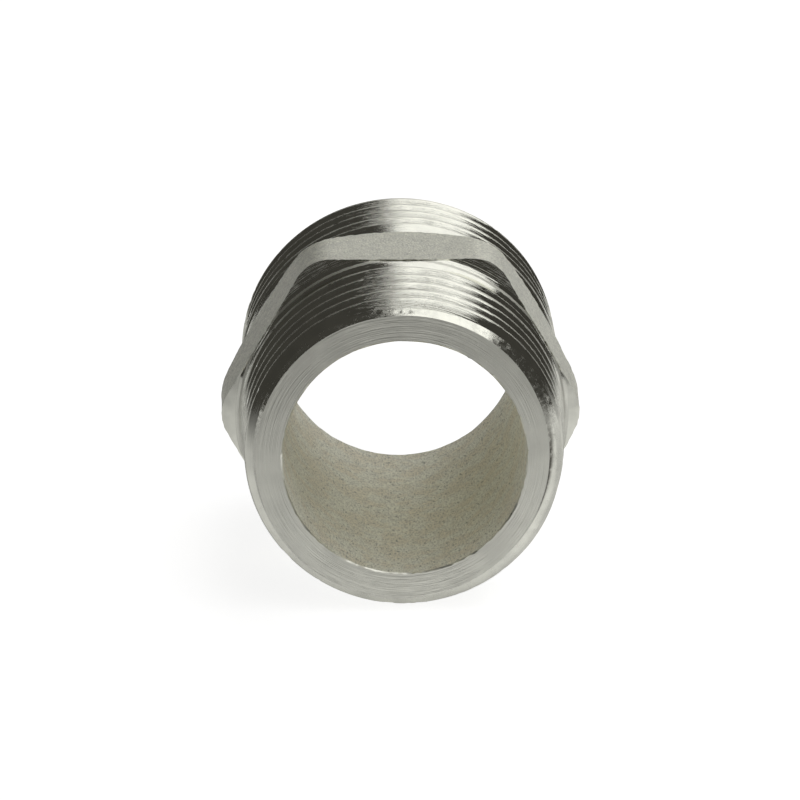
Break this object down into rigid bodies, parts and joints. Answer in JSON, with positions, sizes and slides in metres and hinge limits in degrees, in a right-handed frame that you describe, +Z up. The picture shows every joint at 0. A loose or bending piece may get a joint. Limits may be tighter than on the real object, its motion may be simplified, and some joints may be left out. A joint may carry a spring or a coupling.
{
  "type": "pipe nipple",
  "caption": "Hexagon pipe nipple in cast stainless steel, with a male taper pipe thread on each end, a hexagon between them and a plain bore",
  "frame": {"origin": "the centre of the hexagon, on the bore's axis, halfway between the two end faces", "axes": "+Y along the bore from the near end to the far end, +Z up out of the hexagon's top flat, +X to the right, through a corner of the hexagon"},
  "size_m": [0.0372, 0.038, 0.0334],
  "materials": {
    "stainless": "investment-cast stainless steel: matte, finely grained hexagon and bore, bright machined threads, neck and end faces"
  },
  "bodies": {
    "root": {"hex_nipple": "stainless"}
  },
  "joints": []
}
